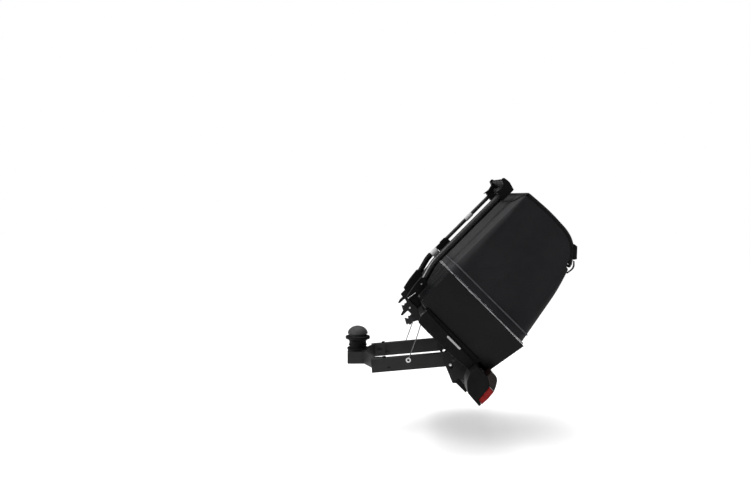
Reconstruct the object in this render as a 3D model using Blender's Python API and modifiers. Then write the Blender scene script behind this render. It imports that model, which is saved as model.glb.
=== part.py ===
"""Tilting tow-ball carrier with a soft-topped cargo box, shown tipped back on its arms.

Metres, +Z up. The origin is the centre of the tow ball that the coupling closes on, +X runs
rearwards and left is -Y. Pieces of the arms are drawn in a frame at the hinge that rises by
ARM_RISE. The platform and box are drawn level in a frame at the hinge that is tipped by TIP.
"""

import math

import bmesh
import bpy
from mathutils import Matrix, Vector

for leftover in list(bpy.data.objects):
    bpy.data.objects.remove(leftover, do_unlink=True)

GAP = 0.0003
ARM_RISE = math.radians(5)
TIP = math.radians(45)
HINGE = Vector((0.430, 0.0, 0.0235))

# Arms: two closed-end box sections
ARM_Y = 0.197
ARM_WIDTH = 0.040
ARM_DEPTH = 0.058
ARM_WALL = 0.003
ARM_FRONT = -0.358
ARM_END = 0.024
HINGE_HOLE = 0.0065
WIRE_BOLT = (-0.196, 0.0135)
STOP_PIN = (-0.2835, -0.0145)
YOKE_BOLT = (0.112, -0.004)

# Coupling
BALL_SOCKET = 0.0262
COLUMN_X = 0.010
BLOCK_TOP = 0.0307
BRIM_TOP = 0.0935

# Swinging channels that straddle the arms
CHANNEL_WALL = 0.004
CHANNEL_OUTER = ARM_Y + ARM_WIDTH / 2 + 0.0053
CHANNEL_INNER = ARM_Y - ARM_WIDTH / 2 - 0.0053
WEB_LOW = 0.0402
WEB_TOP = 0.0442
HOOK_PIVOT = (-0.250, -0.006)
PEDAL_PIVOT = (0.060, -0.060)

# Platform
TUBE_LOW = 0.0445
TUBE_TOP = 0.0685
TUBE_REACH = 0.4407
SIDE_PLATE_Y = 0.4413
LAMP_IN = 0.400
LAMP_OUT = 0.5197

# Upright frame
LEG_Y = 0.19
LEG_U = -0.3545
LEG_FOOT_U = -0.3245
LEG_RADIUS = 0.016
ROD_RADIUS = 0.0088
LEG_TOP = 0.685

# Cargo box
RIM_LOW = 0.2567
RIM_HIGH = 0.2643
SIDE_OUT = 0.444
SIDE_IN = 0.438
LID_HALF = 0.435
LID_THICK = 0.008
PIPE_RADIUS = 0.006
LID_HINGE = (-0.3057, 0.7093)

SIDES = (("left", -1), ("right", 1))

scene = bpy.context.scene
model = bpy.data.collections.new("tilting_cargo_carrier")
cutters = bpy.data.collections.new("cutters")
scene.collection.children.link(model)
scene.collection.children.link(cutters)


# ---------------------------------------------------------------- finishes
def finish(name, colour, roughness, metallic=0.0):
    """A plain Principled material."""
    material = bpy.data.materials.new(name)
    material.use_nodes = True
    shader = material.node_tree.nodes["Principled BSDF"]
    shader.inputs["Base Color"].default_value = (*colour, 1.0)
    shader.inputs["Roughness"].default_value = roughness
    shader.inputs["Metallic"].default_value = metallic
    return material


ARM_PAINT = finish("powder_coated_arm", (0.022, 0.022, 0.023), 0.45)
FRAME_PAINT = finish("powder_coated_frame", (0.015, 0.015, 0.016), 0.35)
ZINC = finish("zinc_plated_steel", (0.45, 0.45, 0.46), 0.35, 1.0)
BLACK_PLASTIC = finish("black_moulded_plastic", (0.012, 0.012, 0.013), 0.5)
GREY_PLASTIC = finish("grey_moulded_plastic", (0.45, 0.46, 0.47), 0.5)
TUB_PLASTIC = finish("gloss_black_tub", (0.010, 0.010, 0.011), 0.25)
RIM_GREY = finish("light_rim", (0.30, 0.31, 0.32), 0.45)
FABRIC = finish("coated_fabric", (0.014, 0.014, 0.016), 0.8)
PIPING = finish("rubber_zip_piping", (0.006, 0.006, 0.006), 0.6)
WEBBING = finish("black_webbing", (0.012, 0.012, 0.012), 0.85)
RED_LENS = finish("red_lens", (0.42, 0.01, 0.012), 0.15)
CLEAR_LENS = finish("smoke_lens", (0.25, 0.24, 0.24), 0.12)


# ---------------------------------------------------------------- helpers
def frame(name, location, angle=0.0, parent=None):
    """An empty that turns its pieces about Y."""
    empty = bpy.data.objects.new(name, None)
    model.objects.link(empty)
    empty.parent = parent
    empty.location = location
    empty.rotation_euler = (0.0, angle, 0.0)
    return empty


def place(name, data, parent, material, location=(0.0, 0.0, 0.0)):
    obj = bpy.data.objects.new(name, data)
    model.objects.link(obj)
    obj.parent = parent
    obj.location = location
    if material:
        data.materials.append(material)
    return obj


def smooth(mesh):
    mesh.shade_smooth()
    mesh.set_sharp_from_angle(angle=math.radians(35))


def block(name, low, high, parent, material, edge=0.0):
    """A box between two corners, with bevelled edges where edge is given."""
    low, high = Vector(low), Vector(high)
    bm = bmesh.new()
    bmesh.ops.create_cube(bm, size=1.0)
    bmesh.ops.scale(bm, vec=high - low, verts=bm.verts)
    mesh = bpy.data.meshes.new(name)
    bm.to_mesh(mesh)
    bm.free()
    obj = place(name, mesh, parent, material, (low + high) / 2)
    if edge:
        bevel = obj.modifiers.new("edge", "BEVEL")
        bevel.width = edge
        bevel.segments = 2
    return obj


def rod(name, start, end, radius, parent, material=None, sides=24):
    """A cylinder between two points; six sides make a hexagon."""
    start, end = Vector(start), Vector(end)
    turn = Vector((0, 0, 1)).rotation_difference(end - start).to_matrix().to_4x4()
    bm = bmesh.new()
    bmesh.ops.create_cone(
        bm, cap_ends=True, segments=sides, radius1=radius, radius2=radius,
        depth=(end - start).length, matrix=turn,
    )
    mesh = bpy.data.meshes.new(name)
    bm.to_mesh(mesh)
    bm.free()
    smooth(mesh)
    return place(name, mesh, parent, material, (start + end) / 2)


def turned(name, profile, parent, material, location=(0.0, 0.0, 0.0), steps=32):
    """A solid turned about Z from a closed profile that runs down its outer side."""
    mesh = bpy.data.meshes.new(name)
    edges = [(i, i + 1) for i in range(len(profile) - 1)]
    if profile[0][0] > 0:
        edges.append((len(profile) - 1, 0))
    mesh.from_pydata([(r, 0.0, z) for r, z in profile], edges, [])
    obj = place(name, mesh, parent, material, location)
    screw = obj.modifiers.new("turn", "SCREW")
    screw.steps = screw.render_steps = steps
    screw.use_merge_vertices = True
    screw.merge_threshold = 0.00005
    screw.use_smooth_shade = False
    return obj


def softened(corners, closed=True, steps=4):
    """The outline with each corner that carries a softness rounded by a quadratic curve."""
    points = [Vector(c[0]) for c in corners]
    softness = [c[1] for c in corners]
    count = len(points)
    outline = []
    for i, (point, soft) in enumerate(zip(points, softness)):
        at_end = not closed and i in (0, count - 1)
        if soft == 0 or at_end:
            outline.append(point)
            continue
        before = point + (points[i - 1] - point).normalized() * soft
        after = point + (points[(i + 1) % count] - point).normalized() * soft
        for k in range(steps + 1):
            t = k / steps
            outline.append(before * (1 - t) ** 2 + point * 2 * t * (1 - t) + after * t * t)
    return outline


def plain(*points):
    return [(p, 0) for p in points]


def inset(path, distance):
    """An open path moved to its right by a distance."""
    moved = []
    for i, point in enumerate(path):
        ahead = path[min(i + 1, len(path) - 1)] - point
        behind = point - path[max(i - 1, 0)]
        run = (ahead.normalized() + behind.normalized()).normalized()
        moved.append(point + Vector((run.y, -run.x)) * distance)
    return moved


def flat_curve(name, outlines, thickness):
    curve = bpy.data.curves.new(name, "CURVE")
    curve.dimensions = "2D"
    curve.fill_mode = "BOTH"
    curve.extrude = thickness / 2
    for outline in outlines:
        spline = curve.splines.new("POLY")
        spline.points.add(len(outline) - 1)
        spline.use_cyclic_u = True
        for target, point in zip(spline.points, outline):
            target.co = (point[0], point[1], 0.0, 1.0)
    return curve


def plate(name, outline, y_from, y_to, parent, material):
    """A side-view outline in X and Z, as thick as the stretch of Y that it spans."""
    curve = flat_curve(name, [outline], abs(y_to - y_from))
    obj = place(name, curve, parent, material, (0.0, (y_from + y_to) / 2, 0.0))
    obj.rotation_euler = (math.pi / 2, 0.0, 0.0)
    return obj


def slab(name, outlines, low, high, parent, material):
    """A plan-view outline in X and Y between two heights; a second outline is a hole."""
    curve = flat_curve(name, outlines, high - low)
    return place(name, curve, parent, material, (0.0, 0.0, (low + high) / 2))


def tube(name, points, radius, parent, material, roundness=2, thickness=None):
    """A round tube along points; thickness gives each point its own share of the radius."""
    curve = bpy.data.curves.new(name, "CURVE")
    curve.dimensions = "3D"
    curve.bevel_depth = radius
    curve.bevel_resolution = roundness
    curve.use_fill_caps = True
    spline = curve.splines.new("POLY")
    spline.points.add(len(points) - 1)
    for i, (target, point) in enumerate(zip(spline.points, points)):
        target.co = (*point, 1.0)
        target.radius = thickness[i] if thickness else 1.0
    return place(name, curve, parent, material)


def as_mesh(obj):
    """Replaces a curve object by its welded mesh, so that it can be cut."""
    bpy.context.view_layer.update()
    depsgraph = bpy.context.evaluated_depsgraph_get()
    mesh = bpy.data.meshes.new_from_object(obj.evaluated_get(depsgraph))
    bm = bmesh.new()
    bm.from_mesh(mesh)
    bmesh.ops.remove_doubles(bm, verts=bm.verts, dist=0.00001)
    bmesh.ops.recalc_face_normals(bm, faces=bm.faces)
    bm.to_mesh(mesh)
    bm.free()
    name, parent, matrix = obj.name, obj.parent, obj.matrix_world.copy()
    bpy.data.objects.remove(obj)
    solid = bpy.data.objects.new(name, mesh)
    model.objects.link(solid)
    solid.parent = parent
    solid.matrix_world = matrix
    return solid


def tool(obj):
    """Marks an object as a cutter."""
    model.objects.unlink(obj)
    cutters.objects.link(obj)
    obj.hide_render = True
    obj.display_type = "WIRE"
    return obj


def combine(obj, operation, *others):
    for other in others:
        if other.name not in cutters.objects:
            tool(other)
        boolean = obj.modifiers.new(other.name, "BOOLEAN")
        boolean.operation = operation
        boolean.solver = "EXACT"
        boolean.object = other
    return obj


def cut(obj, *others):
    return combine(obj, "DIFFERENCE", *others)


def fuse(obj, *others):
    return combine(obj, "UNION", *others)


def cross_hole(name, at, radius, y_from, y_to, parent):
    """A round cutter along Y through a point given by X and Z."""
    return rod(name, (at[0], y_from, at[1]), (at[0], y_to, at[1]), radius, parent)


def arc(centre, radius, start, end, steps):
    """Points on an arc in the side view, with its angles in degrees."""
    points = []
    for k in range(steps + 1):
        angle = math.radians(start + (end - start) * k / steps)
        points.append(Vector((centre[0] + radius * math.cos(angle),
                              centre[1] + radius * math.sin(angle))))
    return points


arm_frame = frame("arm_frame", HINGE, -ARM_RISE)
tip_frame = frame("tip_frame", HINGE, TIP)


# ---------------------------------------------------------------- coupling
def coupling():
    body = block("coupling_block", (-0.036, -0.045, -0.030), (0.046, 0.045, BLOCK_TOP),
                 None, FRAME_PAINT, edge=0.004)
    bm = bmesh.new()
    bmesh.ops.create_uvsphere(bm, u_segments=24, v_segments=16, radius=BALL_SOCKET)
    ball = bpy.data.meshes.new("ball_space")
    bm.to_mesh(ball)
    bm.free()
    ball_space = place("ball_space", ball, None, None)
    neck_space = rod("neck_space", (0, 0, -0.06), (0, 0, 0), BALL_SOCKET, None)
    pocket = block("jaw_pocket", (0.015, -0.0155, -0.016), (0.0415, 0.0155, 0.013), None, None)
    cut(body, ball_space, neck_space, pocket)

    jaw = block("clamp_jaw", (0.021, -0.015, -0.0155), (0.037, 0.015, 0.0125), None, ZINC)
    bm = bmesh.new()
    bmesh.ops.create_uvsphere(bm, u_segments=24, v_segments=16, radius=BALL_SOCKET + GAP)
    face = bpy.data.meshes.new("jaw_face")
    bm.to_mesh(face)
    bm.free()
    cut(jaw, place("jaw_face", face, None, None))

    bore = 0.0115
    turned("ribbed_column", [
        (0.0400, 0.0763), (0.0418, 0.0745), (0.0418, 0.0715), (0.0390, 0.0690),
        (0.0390, 0.0565), (0.0418, 0.0540), (0.0418, 0.0510), (0.0390, 0.0485),
        (0.0390, 0.0425), (0.0483, 0.0395), (0.0483, BLOCK_TOP + GAP),
        (bore, BLOCK_TOP + GAP), (bore, 0.0763),
    ], None, BLACK_PLASTIC, (COLUMN_X, 0, 0))
    turned("brim_ring", [
        (0.0460, BRIM_TOP), (0.0540, 0.0915), (0.0560, 0.0875), (0.0560, 0.0825),
        (0.0540, 0.0785), (0.0460, 0.0766), (bore, 0.0766), (bore, BRIM_TOP),
    ], None, BLACK_PLASTIC, (COLUMN_X, 0, 0))
    dome = [(0.046 * math.sin(math.radians(a)), 0.1026 + 0.0352 * math.cos(math.radians(a)))
            for a in range(0, 91, 15)]
    dome[0] = (0.0, dome[0][1])
    turned("dome_knob", dome + [
        (0.0385, 0.1020), (0.0385, 0.0965), (0.0430, 0.0960), (0.0430, BRIM_TOP + GAP),
        (0.0, BRIM_TOP + GAP),
    ], None, BLACK_PLASTIC, (COLUMN_X, 0, 0))
    rod("knob_spindle", (COLUMN_X, 0, BLOCK_TOP + 2 * GAP), (COLUMN_X, 0, BRIM_TOP - GAP),
        0.010, None, ZINC)


def yoke(side, sign):
    """A plate that runs out from the coupling block to the arm's inner face."""
    half = 0.005
    inner = [Vector(p) for p in ((-0.030, 0.0503), (0.040, 0.0503), (0.085, 0.1715), (0.137, 0.1715))]
    outline = inset(inner, half) + inset(inner, -half)[::-1]
    outline = [(p.x, p.y * sign) for p in outline]
    body = as_mesh(slab(f"yoke_{side}", [outline], -0.026, 0.026, None, FRAME_PAINT))
    cut(body, cross_hole(f"yoke_hole_{side}", YOKE_BOLT, 0.0055, sign * 0.162, sign * 0.182, None))
    x, z = YOKE_BOLT
    shank = rod(f"yoke_bolt_{side}", (x, sign * 0.1620, z), (x, sign * 0.1815, z), 0.005, None, ZINC, 16)
    head = rod(f"yoke_head_{side}", (x, sign * 0.1604, z), (x, sign * 0.1660, z), 0.009, None, sides=6)
    fuse(shank, head)


def arm(side, sign):
    inner, outer = ARM_Y - ARM_WIDTH / 2, ARM_Y + ARM_WIDTH / 2
    half = ARM_DEPTH / 2
    profile = softened([
        ((ARM_FRONT, -half), 0.003), ((-0.040, -half), 0), ((0.018, -0.012), 0.006),
        ((ARM_END, 0.0), 0), ((ARM_END, half), 0.010), ((ARM_FRONT, half), 0.003),
    ], steps=3)
    body = as_mesh(plate(f"arm_{side}", profile, sign * inner, sign * outer, arm_frame, ARM_PAINT))
    hollow = half - ARM_WALL
    inside = as_mesh(plate(f"arm_hollow_{side}", [
        (ARM_FRONT + ARM_WALL, -hollow), (-0.041, -hollow), (0.030, -0.004),
        (0.030, hollow), (ARM_FRONT + ARM_WALL, hollow),
    ], sign * (inner + ARM_WALL), sign * (outer - ARM_WALL), arm_frame, None))
    yoke_at = arm_frame.matrix_world.inverted() @ Vector((YOKE_BOLT[0], 0, YOKE_BOLT[1]))
    cut(
        body, inside,
        cross_hole(f"arm_hinge_hole_{side}", (0, 0), HINGE_HOLE, sign * 0.162, sign * 0.232, arm_frame),
        cross_hole(f"arm_pin_hole_{side}", STOP_PIN, 0.0041, sign * 0.162, sign * 0.232, arm_frame),
        cross_hole(f"arm_wire_hole_{side}", WIRE_BOLT, 0.0045, sign * 0.202, sign * 0.232, arm_frame),
        cross_hole(f"arm_yoke_hole_{side}", (yoke_at.x, yoke_at.z), 0.0055,
                   sign * 0.162, sign * 0.192, arm_frame),
    )
    rod(f"stop_pin_{side}", (STOP_PIN[0], sign * 0.1660, STOP_PIN[1]),
        (STOP_PIN[0], sign * 0.2280, STOP_PIN[1]), 0.0035, arm_frame, ZINC, 16)
    rod(f"clamp_nut_{side}", (-0.300, sign * ARM_Y, half + GAP), (-0.300, sign * ARM_Y, half + 0.0065),
        0.0085, arm_frame, ZINC, 6)

    a, h = WIRE_BOLT
    face = outer + GAP
    shank = rod(f"wire_bolt_{side}", (a, sign * 0.210, h), (a, sign * 0.221, h), 0.004, arm_frame, ZINC, 16)
    fuse(
        shank,
        rod(f"wire_eye_{side}", (a, sign * face, h), (a, sign * (face + 0.002), h), 0.0095, arm_frame),
        rod(f"wire_head_{side}", (a, sign * (face + 0.001), h), (a, sign * (face + 0.006), h),
            0.0065, arm_frame, sides=6),
    )
    shank = rod(f"hinge_bolt_{side}", (0, sign * 0.1670, 0), (0, sign * 0.2270, 0), 0.006, arm_frame, ZINC, 24)
    fuse(
        shank,
        rod(f"hinge_head_{side}", (0, sign * (CHANNEL_OUTER + GAP), 0), (0, sign * 0.2290, 0),
            0.0095, arm_frame, sides=6),
        rod(f"hinge_nut_{side}", (0, sign * 0.1650, 0), (0, sign * (CHANNEL_INNER - GAP), 0),
            0.0095, arm_frame, sides=6),
    )


def wire_route(sign):
    """The restraint wire: from the eye on the arm, taut, to the front cross tube."""
    route = [(0.2371, 0.2195, 0.0305), (0.2545, 0.2205, 0.0780), (0.2717, 0.2220, 0.1256),
             (0.2874, 0.2250, 0.1760), (0.2983, 0.2260, 0.1997), (0.3086, 0.2260, 0.2168)]
    return smooth_route([Vector((x, sign * y, z)) for x, y, z in route], 8)


def smooth_route(route, steps):
    """A smooth curve read through the route's own points."""
    ends = [route[0] * 2 - route[1], *route, route[-1] * 2 - route[-2]]
    points = []
    for a, b, c, d in zip(ends, ends[1:], ends[2:], ends[3:]):
        for k in range(steps):
            t = k / steps
            points.append(0.5 * (2 * b + (c - a) * t + (2 * a - 5 * b + 4 * c - d) * t * t
                                 + (3 * b - a - 3 * c + d) * t ** 3))
    return points + [route[-1]]


# ---------------------------------------------------------------- platform
def swing_channel(side, sign):
    """A folded channel over the arm: a claw at its front end, hinge cheeks at its rear end."""
    profile = softened([
        ((-0.3199, WEB_TOP), 0), ((-0.3199, 0.0120), 0.004), ((-0.3040, 0.0100), 0.002),
        ((-0.3040, -0.0110), 0.002), ((-0.2981, -0.0270), 0.001), ((-0.2914, -0.0220), 0.002),
        ((-0.2905, 0.0090), 0.005), ((-0.2640, 0.0090), 0.004), ((-0.2620, -0.0100), 0.003),
        ((-0.2500, -0.0165), 0.004), ((-0.2390, -0.0080), 0.003), ((-0.2300, 0.0085), 0.003),
        ((-0.2130, 0.0105), 0.003), ((-0.2050, 0.0260), 0.003), ((-0.0750, 0.0260), 0.0),
    ], closed=False)
    profile += arc((0, 0), 0.045, 171, 268, 9)
    profile += softened([
        ((0.0400, -0.0540), 0), ((0.0480, -0.0690), 0.003), ((0.0700, -0.0690), 0.003),
        ((0.0740, -0.0450), 0.003), ((0.0980, -0.0300), 0.004), ((0.0980, WEB_TOP), 0),
    ], closed=False)
    outer, inner = sign * CHANNEL_OUTER, sign * CHANNEL_INNER
    body = as_mesh(plate(f"swing_channel_{side}", profile, outer, inner, tip_frame, FRAME_PAINT))
    wall = CHANNEL_WALL
    near, far = sorted((sign * (CHANNEL_INNER + wall), sign * (CHANNEL_OUTER - wall)))
    trough = block(f"channel_trough_{side}", (-0.34, near, -0.08), (0.12, far, WEB_LOW), tip_frame, None)
    near, far = sorted((sign * (CHANNEL_INNER - 0.01), sign * (CHANNEL_INNER + wall + 0.001)))
    claw_gap = block(f"inner_front_{side}", (-0.34, near, -0.08), (-0.285, far, WEB_LOW), tip_frame, None)
    cut(
        body, trough, claw_gap,
        cross_hole(f"channel_hinge_hole_{side}", (0, 0), HINGE_HOLE, sign * 0.162, sign * 0.232, tip_frame),
        cross_hole(f"sight_hole_{side}", (0.0165, -0.0310), 0.009, sign * 0.162, sign * 0.232, tip_frame),
        cross_hole(f"pedal_hole_{side}", PEDAL_PIVOT, 0.0065, sign * 0.162, sign * 0.182, tip_frame),
        cross_hole(f"hook_hole_{side}", HOOK_PIVOT, 0.0045, sign * 0.212, sign * 0.232, tip_frame),
    )


def latch_hook(side, sign):
    u, v = HOOK_PIVOT
    pivot = frame(f"hook_axis_{side}", (u, 0, v), 0.0, tip_frame)
    corners = [(-0.2795, -0.0227), (-0.2553, -0.0363), (-0.2488, -0.0366), (-0.2494, -0.0292),
               (-0.2398, -0.0282), (-0.2401, 0.0020), (-0.2500, 0.0065), (-0.2637, 0.0025),
               (-0.2750, -0.0062), (-0.2650, -0.0136)]
    outline = softened([((x - u, z - v), 0.0012) for x, z in corners], steps=2)
    y_near = CHANNEL_OUTER + GAP
    body = as_mesh(plate(f"latch_hook_{side}", outline, sign * y_near, sign * (y_near + 0.0044),
                         pivot, ZINC))
    fuse(body, rod(f"hook_pin_{side}", (0, sign * 0.2186, 0), (0, sign * (y_near + 0.002), 0),
                   0.004, pivot, sides=16))


def foot_pedal():
    u, v = PEDAL_PIVOT
    pivot = frame("pedal_axis", (u, 0, v), 0.0, tip_frame)
    corners = [(0.0470, -0.0620), (0.0470, -0.0670), (0.0788, -0.0806), (0.0917, -0.0700),
               (0.1500, -0.0700), (0.1500, -0.0480), (0.0840, -0.0480), (0.0640, -0.0540)]
    outline = [(x - u, z - v) for x, z in corners]
    body = as_mesh(plate("foot_pedal", outline, -0.171, 0.171, pivot, BLACK_PLASTIC))
    fuse(body, rod("pedal_shaft", (0, -0.1754, 0), (0, 0.1754, 0), 0.006, pivot, sides=20))


def deck():
    reach = TUBE_REACH
    block("cross_tube_front", (-0.265, -reach, TUBE_LOW), (-0.225, reach, TUBE_TOP),
          tip_frame, FRAME_PAINT, edge=0.003)
    block("cross_tube_middle", (-0.110, -reach, TUBE_LOW), (-0.070, reach, TUBE_TOP),
          tip_frame, FRAME_PAINT, edge=0.003)
    reach = LAMP_IN - GAP
    block("cross_tube_rear", (0.045, -reach, TUBE_LOW), (0.075, reach, TUBE_TOP),
          tip_frame, FRAME_PAINT, edge=0.003)
    block("light_bar", (0.1000, -reach, -0.015), (0.1250, reach, 0.045),
          tip_frame, BLACK_PLASTIC, edge=0.004)
    block("plate_holder", (0.1253, -0.262, -0.030), (0.1303, 0.262, 0.085), tip_frame, BLACK_PLASTIC)


def side_plate(side, sign):
    outline = softened([
        ((-0.2519, 0.0201), 0.002), ((-0.2000, 0.0185), 0.01), ((-0.0500, 0.0215), 0.01),
        ((0.0270, 0.0280), 0.003), ((0.0270, 0.0640), 0.003), ((-0.2000, 0.0740), 0.01),
        ((-0.2620, 0.0765), 0.003), ((-0.2620, 0.0400), 0.004),
    ])
    plate(f"side_plate_{side}", outline, sign * SIDE_PLATE_Y, sign * (SIDE_PLATE_Y + 0.014),
          tip_frame, BLACK_PLASTIC)


def lamp(side, sign):
    inner, outer = sign * LAMP_IN, sign * LAMP_OUT
    housing = softened([
        ((0.0285, 0.0300), 0.006), ((0.0420, -0.0060), 0.015), ((0.0785, -0.0360), 0.008),
        ((0.1480, -0.0405), 0.003), ((0.1490, -0.0290), 0), ((0.1280, -0.0240), 0),
        ((0.1222, 0.0440), 0), ((0.0862, 0.0660), 0), ((0.0285, 0.0640), 0.004),
    ])
    plate(f"lamp_housing_{side}", housing, inner, outer, tip_frame, BLACK_PLASTIC)
    red = softened([
        ((0.1285, -0.0236), 0), ((0.1500, -0.0286), 0.004), ((0.1530, 0.0050), 0.015),
        ((0.1490, 0.0425), 0), ((0.1226, 0.0440), 0),
    ])
    plate(f"red_lens_{side}", red, sign * (LAMP_IN + 0.012), outer, tip_frame, RED_LENS)
    clear = softened([
        ((0.1226, 0.0444), 0), ((0.1488, 0.0429), 0), ((0.1381, 0.0662), 0.010),
        ((0.1241, 0.0877), 0.008), ((0.1083, 0.0937), 0.006), ((0.0866, 0.0926), 0.002),
        ((0.0866, 0.0664), 0),
    ])
    plate(f"clear_lens_{side}", clear, sign * (LAMP_IN + 0.012), outer, tip_frame, CLEAR_LENS)


# ---------------------------------------------------------------- upright frame
def leg_path():
    """The inverted U of the upright frame, from the left foot to the right foot."""
    half = [(LEG_FOOT_U, -LEG_Y, 0.086), (LEG_FOOT_U, -LEG_Y, 0.125), (LEG_U, -LEG_Y, 0.232),
            (LEG_U, -LEG_Y, LEG_TOP)]
    soft = [0, 0.028, 0.025, 0.030]
    mirrored = [(u, -y, v) for u, y, v in half[::-1]]
    return softened(list(zip(half + mirrored, soft + soft[::-1])), closed=False)


def leg_shares(points, clearance=0.0):
    """The left leg is full tube and the right leg a slimmer rod; the crossbar tapers between them."""
    shares = []
    for point in points:
        t = min(1.0, max(0.0, (point.y + LEG_Y) / (2 * LEG_Y)))
        radius = LEG_RADIUS + (ROD_RADIUS - LEG_RADIUS) * t + clearance
        shares.append(radius / LEG_RADIUS)
    return shares


def upright():
    points = [Vector(p) for p in leg_path()]
    tube("upright_frame", points, LEG_RADIUS, tip_frame, FRAME_PAINT, 3, leg_shares(points))
    clearance = tool(as_mesh(tube("frame_clearance", points, LEG_RADIUS, tip_frame, None, 3,
                                  leg_shares(points, GAP * 2))))
    block_outline = softened([
        ((-0.3492, 0.1495), 0.004), ((-0.3380, 0.1640), 0.004), ((-0.3065, 0.1500), 0.004),
        ((-0.3030, 0.0768), 0), ((-0.2665, 0.0768), 0.003), ((-0.2665, TUBE_LOW), 0),
        ((-0.3322, TUBE_LOW), 0.002), ((-0.3362, 0.0616), 0.010), ((-0.3435, 0.0964), 0.015),
    ])
    bracket_outline = softened([
        ((-0.3341, 0.7050), 0.003), ((-0.3535, 0.7108), 0.004), ((-0.3693, 0.7155), 0.004),
        ((-0.3866, 0.7149), 0.003), ((-0.4018, 0.7121), 0.002), ((-0.4002, 0.6967), 0.002),
        ((-0.3828, 0.6905), 0.004), ((-0.3768, 0.6669), 0.004), ((-0.3808, 0.6354), 0.001),
        ((-0.3749, 0.6450), 0.002), ((-0.3345, 0.6354), 0.002), ((-0.3341, 0.6570), 0.002),
    ])
    for side, sign in SIDES:
        foot = as_mesh(plate(f"foot_block_{side}", block_outline, sign * 0.215, sign * 0.165,
                             tip_frame, BLACK_PLASTIC))
        cut(foot, clearance)
        bracket = as_mesh(plate(f"top_bracket_{side}", bracket_outline,
                                sign * 0.214, sign * 0.170, tip_frame, BLACK_PLASTIC))
        cut(bracket, clearance)

    sleeve = rod("sleeve_large", (LEG_U + 0.006, LEG_Y, 0.2530), (LEG_U + 0.006, LEG_Y, 0.2900), 0.0165,
                 tip_frame, GREY_PLASTIC, 24)
    cut(sleeve, clearance)
    bore = ROD_RADIUS + GAP
    turned("sleeve_small", [(0.0098, 0.527), (0.0108, 0.525), (0.0108, 0.489), (0.0098, 0.487),
                            (bore, 0.487), (bore, 0.527)],
           tip_frame, GREY_PLASTIC, (LEG_U, LEG_Y, 0), steps=24)
    clamp = block("frame_clamp", (-0.366, 0.176, 0.3180), (-0.338, 0.204, 0.3560),
                  tip_frame, BLACK_PLASTIC, edge=0.006)
    cut(clamp, clearance)


# ---------------------------------------------------------------- cargo box
def rounded_ring(u_low, u_high, half, corner, steps=4):
    """A rounded rectangle in plan, counter-clockwise."""
    ring = []
    for cu, cy, start in ((u_high - corner, half - corner, 0), (u_low + corner, half - corner, 90),
                          (u_low + corner, -half + corner, 180), (u_high - corner, -half + corner, 270)):
        ring += arc((cu, cy), corner, start, start + 90, steps)
    return ring


def tub():
    """A moulded tub: an open shell lofted from its floor to its rim, then given a wall."""
    floor_front, floor_fall = 0.079, 0.0243
    rings = []
    for inset_by, rise, half, corner in ((0.012, 0.0, 0.419, 0.030), (0.003, 0.003, 0.419, 0.036),
                                         (0.0, 0.012, 0.4195, 0.040)):
        ring = rounded_ring(-0.2957 + inset_by, 0.0955 - inset_by, half - inset_by, corner)
        rings.append([(p.x, p.y, floor_front - floor_fall * (p.x + 0.2957) + rise) for p in ring])
    ring = rounded_ring(-0.3066, 0.1230, 0.4395, 0.050)
    rings.append([(p.x, p.y, 0.2555) for p in ring])

    bm = bmesh.new()
    loops = [[bm.verts.new(p) for p in ring] for ring in rings]
    bm.faces.new(loops[0])
    for lower, upper in zip(loops, loops[1:]):
        count = len(lower)
        for i in range(count):
            j = (i + 1) % count
            bm.faces.new((lower[i], lower[j], upper[j], upper[i]))
    bmesh.ops.recalc_face_normals(bm, faces=bm.faces)
    mesh = bpy.data.meshes.new("tub")
    bm.to_mesh(mesh)
    bm.free()
    obj = place("tub", mesh, tip_frame, TUB_PLASTIC)
    wall = obj.modifiers.new("wall", "SOLIDIFY")
    wall.thickness = 0.004
    wall.offset = -1.0
    slab("tub_rim", [rounded_ring(-0.3097, 0.1261, 0.4425, 0.052),
                     rounded_ring(-0.2977, 0.1141, 0.4305, 0.042)],
         RIM_LOW, RIM_HIGH, tip_frame, RIM_GREY)


def lid_curve():
    """The lid's outer line in side view, from its front edge to its rear edge."""
    return softened([((-0.2998, 0.7115), 0), ((-0.1884, 0.7200), 0.05), ((-0.0302, 0.7129), 0.077),
                     ((0.0250, 0.6276), 0)], closed=False, steps=6)


def rear_curve():
    """The rear wall's outer line in side view, from under the lid to the rim."""
    return softened([((0.0311, 0.6056), 0), ((0.0607, 0.5255), 0.05), ((0.1123, RIM_HIGH + GAP), 0)],
                    closed=False)


def fabric_top():
    low = RIM_HIGH + GAP
    top = inset(lid_curve(), 0.0125)[:-1]
    side_outline = [Vector((-0.3074, low)), Vector((-0.3074, 0.6980)), *top,
                    Vector((0.0107, 0.6092)), *rear_curve()]
    for side, sign in SIDES:
        plate(f"side_panel_{side}", side_outline, sign * SIDE_IN, sign * SIDE_OUT, tip_frame, FABRIC)
    reach = SIDE_IN - GAP
    block("front_panel", (-0.3087, -reach, low), (-0.3037, reach, 0.6980), tip_frame, FABRIC)
    rear = rear_curve()
    inner = inset(rear, 0.005)
    inner[-1].y = low
    plate("rear_panel", rear + inner[::-1], -reach, reach, tip_frame, FABRIC)


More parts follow.
